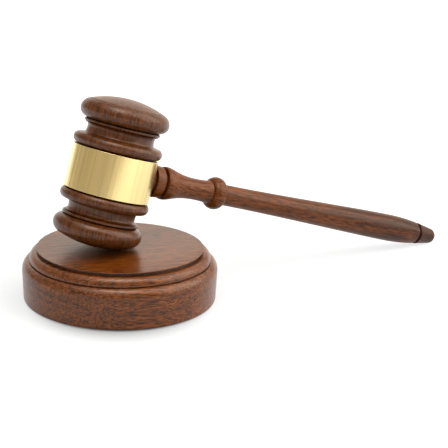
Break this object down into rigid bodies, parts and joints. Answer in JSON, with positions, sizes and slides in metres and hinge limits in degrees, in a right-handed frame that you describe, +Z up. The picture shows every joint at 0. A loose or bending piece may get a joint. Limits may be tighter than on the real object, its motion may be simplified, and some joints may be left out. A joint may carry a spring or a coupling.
{
  "type": "gavel with sound block",
  "caption": "Turned wooden gavel with a plain brass band round its waist, lying on a round moulded sound block with a felt base.",
  "frame": {"origin": "centre of the underside of the sound block's felt, on the table", "axes": "+Z up, from the table; +X along the table, the way the gavel's handle points; +Y follows by the right-hand rule"},
  "size_m": [0.2841, 0.108, 0.1132],
  "materials": {
    "walnut_head": "walnut stain under satin lacquer",
    "walnut_handle": "walnut stain under satin lacquer, grain along the handle",
    "walnut_block": "walnut stain under satin lacquer, grain across the block",
    "brass": "polished and lacquered, with fine rolling streaks",
    "felt": "dark pressed felt"
  },
  "bodies": {
    "block": {"sound_block": "walnut_block", "block_felt_pad": "felt"},
    "gavel": {"gavel_head": "walnut_head", "brass_band": "brass", "gavel_handle": "walnut_handle"}
  },
  "joints": [
    {"name": "gavel_lift", "type": "slide", "parent": "block", "child": "gavel", "axis": [0, 0, 1], "range_m": [0, 0.12]}
  ]
}
